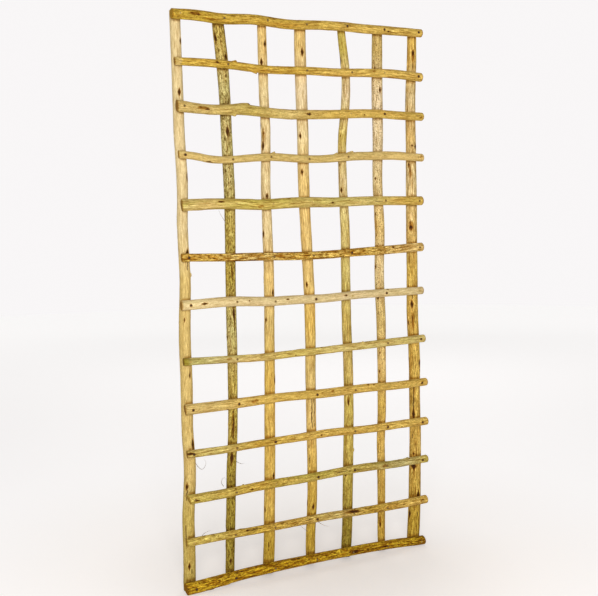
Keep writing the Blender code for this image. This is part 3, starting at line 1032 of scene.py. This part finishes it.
class TRELLIS_OT_nails(bpy.types.Operator):
    """Drive one wire nail through each crossing"""

    bl_idname = "trellis.nails"
    bl_label = "Wire nails"

    def execute(self, context):
        settings = context.scene.trellis
        meshes = {letter: nail_mesh(settings, letter) for letter in HEADS}
        dice = random.Random(NAIL_SEED)
        for j, (rail, look) in enumerate(zip(RAIL_LINES, RAIL_LOOKS)):
            for i, upright in enumerate(UPRIGHT_LINES):
                node = f"nail_{j + 1:02d}_{i + 1}"
                has_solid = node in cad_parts
                x, z = crossing(upright, rail)
                under_head = rail.one(rail.depth, x) - rail.one(rail.radius, x)
                if has_solid:
                    low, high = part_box(node)
                    x, z = (low.x + high.x) / 2, (low.z + high.z) / 2
                    under_head = high.y - settings.nail_length
                nail = drive_nail(meshes[look["heads"][i]], "wire_" + node,
                                  (x, under_head, z), dice)
                if has_solid:
                    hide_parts(node)
        return {"FINISHED"}


class TRELLIS_OT_shreds(bpy.types.Operator):
    """Hang the loose shreds of bark on the poles"""

    bl_idname = "trellis.shreds"
    bl_label = "Bark shreds"

    def execute(self, context):
        for k, (depth, points) in enumerate(SHREDS):
            make_shred(k + 1, depth, table(points))
        return {"FINISHED"}


class TRELLIS_OT_stage(bpy.types.Operator):
    """Set up the pale floor, the soft light and the camera"""

    bl_idname = "trellis.stage"
    bl_label = "Stage"

    EYE = Vector((-1.5875, -2.8453, 1.1964))
    YAW, PITCH, ROLL = (math.radians(a) for a in (28.66, 5.14, 0.97))
    LENS, SENSOR = 60.2, 36
    FLOOR_RADIUS, FLOOR_SIDES = 9.0, 96
    FLOOR_GAP = 0.2 * MM

    # Floor, by the distance in metres: where its tint of painted shade and reflected wood colour
    # near the trellis fades, and two rises of its glow, which is weaker near the trellis as painted
    # shade
    FLOOR_SHADE_FADE = (0.4, 1.6)
    FLOOR_GLOWS = ((0.1, 0.8, 0.31, 0.45), (2.5, 7.5, 0.0, 0.18))

    # Lamps: place, width and power
    LAMPS = {"key": ((-2.0, -3.7, 1.5), 1.6, 134.0), "back_fill": ((2.2, 3.4, 3.2), 3.0, 34.0)}
    AIM = Vector((0, 0, 0.9))

    def execute(self, context):
        self.camera(context)
        self.floor(context)
        self.world(context)
        self.lamps()
        context.scene.view_settings.view_transform = "Standard"
        return {"FINISHED"}

    def camera(self, context):
        """Level look along the yaw, tipped down by the pitch, turned about the view by the roll."""
        lens = bpy.data.cameras.new("camera")
        lens.lens = self.LENS
        lens.sensor_width = self.SENSOR
        camera = link("camera", lens)
        turn = (Matrix.Rotation(-self.YAW, 4, "Z")
                @ Matrix.Rotation(math.radians(90) - self.PITCH, 4, "X")
                @ Matrix.Rotation(-self.ROLL, 4, "Z"))
        camera.matrix_world = Matrix.Translation(self.EYE) @ turn
        context.scene.camera = camera

    def floor(self, context):
        """A round pale floor with painted shade and reflected wood colour near the trellis, which
        fades to white away from it.
        """
        mesh = bpy.data.meshes.new("studio_floor")
        disc = bmesh.new()
        bmesh.ops.create_circle(
            disc, cap_ends=True, radius=self.FLOOR_RADIUS, segments=self.FLOOR_SIDES)
        disc.to_mesh(mesh)
        disc.free()
        floor = link("studio_floor", mesh)
        floor.location.z = CAD_LOW[2] - self.FLOOR_GAP
        material, finish, add = new_material("studio_floor_finish")
        place = add("TexCoord").outputs["Object"]
        distance = add("VectorMath", {0: place}, operation="LENGTH").outputs["Value"]
        # the darker, warmer floor colour near the trellis is painted shade and reflected wood
        # colour
        near = (*context.scene.trellis.floor_colour_with_shade, 1)
        faded = spread(add, distance, *self.FLOOR_SHADE_FADE)
        colour = colour_mix(add, faded, near, (0.88, 0.85, 0.85, 1))
        # the glow is weaker near the trellis, as painted shade
        glows = [spread(add, distance, *rise) for rise in self.FLOOR_GLOWS]
        strength = calculate(add, "ADD", *glows)
        path = add("LightPath").outputs
        seen = calculate(add, "MAXIMUM", path["Is Camera Ray"], path["Is Glossy Ray"])
        finish({"Base Color": colour, "Roughness": 0.9, "Specular IOR Level": 0.1,
                "Emission Color": (1, 1, 1, 1),
                "Emission Strength": calculate(add, "MULTIPLY", strength, seen)})
        mesh.materials.append(material)
        floor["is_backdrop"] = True

    def world(self, context):
        """White to the camera and in reflections, a plain soft ambient for the light."""
        world = bpy.data.worlds.new("studio")
        world.use_nodes = True
        world.node_tree.nodes.clear()
        _, add = node_tools(world.node_tree)
        ambient = add("Background", {"Color": (1.0, 0.985, 0.96, 1), "Strength": 0.33})
        white = add("Background", {"Color": (0.945, 0.925, 0.928, 1), "Strength": 1.0})
        path = add("LightPath").outputs
        seen = calculate(add, "MAXIMUM", path["Is Camera Ray"], path["Is Glossy Ray"])
        seen = calculate(add, "MAXIMUM", seen, path["Is Transmission Ray"])
        mix = add("MixShader", {0: seen, 1: ambient.outputs[0], 2: white.outputs[0]})
        add("OutputWorld", {"Surface": mix.outputs[0]})
        context.scene.world = world

    def lamps(self):
        """One wide key above the camera and a weaker fill behind."""
        for name, (place, width, power) in self.LAMPS.items():
            light = bpy.data.lights.new(name, "AREA")
            light.shape = "DISK"
            light.size = width
            light.energy = power
            lamp = link(name, light)
            lamp.location = place
            lamp.rotation_euler = (self.AIM - Vector(place)).to_track_quat("-Z", "Y").to_euler()


class TRELLIS_PT_panel(bpy.types.Panel):
    """Lists the trellis's sizes and its operators."""

    bl_label = "Trellis"
    bl_idname = "TRELLIS_PT_panel"
    bl_space_type = "VIEW_3D"
    bl_region_type = "UI"
    bl_category = "Trellis"

    def draw(self, context):
        for field in TrellisSizes.__annotations__:
            self.layout.prop(context.scene.trellis, field)
        for step in STEPS:
            self.layout.operator(step.bl_idname)


STEPS = (TRELLIS_OT_stage, TRELLIS_OT_uprights, TRELLIS_OT_rails, TRELLIS_OT_nails,
         TRELLIS_OT_shreds)
CLASSES = (TrellisSizes, *STEPS, TRELLIS_PT_panel)


def register():
    for cls in CLASSES:
        bpy.utils.register_class(cls)
    bpy.types.Scene.trellis = bpy.props.PointerProperty(type=TrellisSizes)


def unregister():
    del bpy.types.Scene.trellis
    for cls in reversed(CLASSES):
        bpy.utils.unregister_class(cls)


def main():
    register()
    bpy.ops.trellis.stage()
    bpy.ops.trellis.uprights()
    bpy.ops.trellis.rails()
    bpy.ops.trellis.nails()
    bpy.ops.trellis.shreds()


if __name__ == "__main__":
    main()
